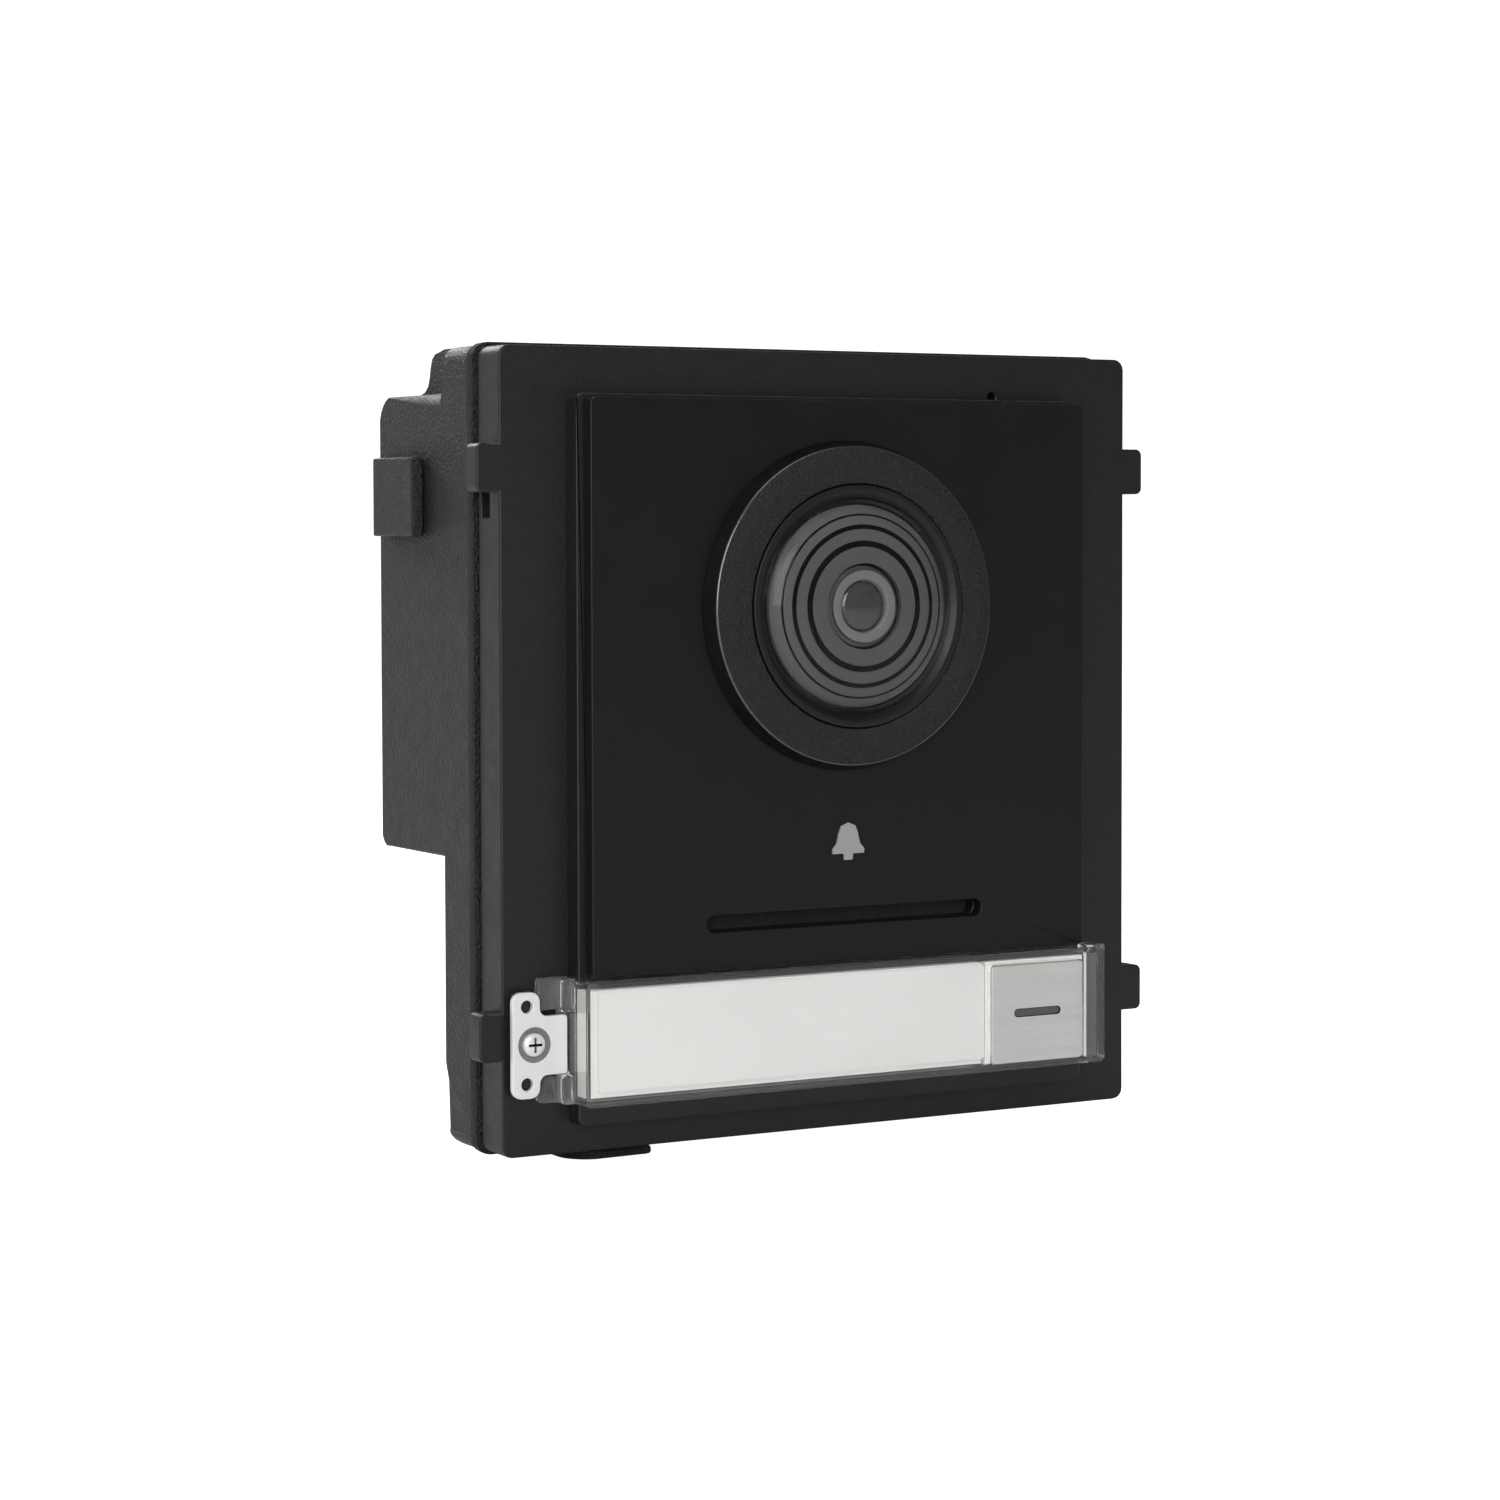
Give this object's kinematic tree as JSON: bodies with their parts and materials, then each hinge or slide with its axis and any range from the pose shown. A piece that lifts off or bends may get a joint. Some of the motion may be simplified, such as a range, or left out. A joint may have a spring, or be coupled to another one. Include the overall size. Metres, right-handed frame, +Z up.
{
  "type": "door intercom panel",
  "caption": "Flush door intercom panel: camera under a clear dome, speaker slot, lit name plate, call button, and a wired rear housing.",
  "frame": {"origin": "on the flat back face of the rear housing, level with the middle of the front frame", "axes": "+X to the right as a caller faces the panel, +Y into the wall, +Z up"},
  "size_m": [0.098, 0.0452, 0.1015],
  "materials": {
    "grained_black": "fine spark-eroded grain",
    "satin_black": "satin moulded plastic",
    "gloss_black": "high gloss",
    "baffle_grey": "smooth matt",
    "clear_plastic": "clear polycarbonate",
    "lens_glass": "coated glass",
    "white_film": "printed film",
    "milky_plastic": "translucent white",
    "brushed_steel": "brushed across",
    "zinc_steel": "zinc plated",
    "pale_silver": "silver film",
    "dark_inlay": "translucent grey",
    "black_rubber": "soft matt",
    "circuit_green": "solder mask",
    "connector_black": "moulded",
    "connector_green": "moulded",
    "chip_black": "moulded"
  },
  "bodies": {
    "panel_body": {"bell_emblem": "pale_silver", "board_screw_1": "zinc_steel", "board_screw_2": "zinc_steel", "board_screw_3": "zinc_steel", "board_screw_4": "zinc_steel", "bracket_screw": "zinc_steel", "call_switch": "chip_black", "camera_baffle": "baffle_grey", "camera_bezel": "grained_black", "camera_trim_ring": "satin_black", "camera_window": "clear_plastic", "connector_board": "circuit_green", "connector_board_screw_1": "zinc_steel", "connector_board_screw_2": "zinc_steel", "connector_board_screw_3": "zinc_steel", "connector_board_screw_4": "zinc_steel", "frame_seal": "black_rubber", "front_frame": "satin_black", "front_panel": "gloss_black", "housing_screw_1": "zinc_steel", "housing_screw_2": "zinc_steel", "housing_screw_3": "zinc_steel", "housing_screw_4": "zinc_steel", "image_sensor": "chip_black", "key_board": "circuit_green", "label_led_1": "white_film", "label_led_2": "white_film", "label_led_3": "white_film", "lens_barrel": "baffle_grey", "lens_front_element": "lens_glass", "lens_holder": "satin_black", "light_guide": "milky_plastic", "link_socket_left": "milky_plastic", "link_socket_right": "milky_plastic", "main_board": "circuit_green", "microphone_boot": "black_rubber", "microphone_capsule": "zinc_steel", "name_cover": "clear_plastic", "name_label": "white_film", "network_jack": "connector_black", "rating_plate": "pale_silver", "rear_housing": "grained_black", "retaining_bracket": "zinc_steel", "sensor_board": "circuit_green", "side_latch_left": "grained_black", "side_latch_right": "grained_black", "speaker_driver": "connector_black", "speaker_gasket": "black_rubber", "speaker_membrane": "black_rubber", "stacking_connector": "connector_black", "tamper_switch": "chip_black", "terminal_block": "connector_green"},
    "call_button": {"call_button_cap": "brushed_steel", "call_dash_inlay": "dark_inlay", "call_button_carrier": "connector_black", "call_switch_stem": "connector_black"},
    "tamper_plunger": {"tamper_plunger": "milky_plastic"}
  },
  "joints": [
    {"name": "call_button_press", "type": "slide", "parent": "panel_body", "child": "call_button", "axis": [0, 1, 0], "range_m": [0, 0.0008], "stiffness_N_per_m": 1200, "springref_m": -0.0004},
    {"name": "tamper_plunger_slide", "type": "slide", "parent": "panel_body", "child": "tamper_plunger", "axis": [0, -1, 0], "range_m": [0, 0.0012], "stiffness_N_per_m": 400, "springref_m": -0.0008}
  ]
}
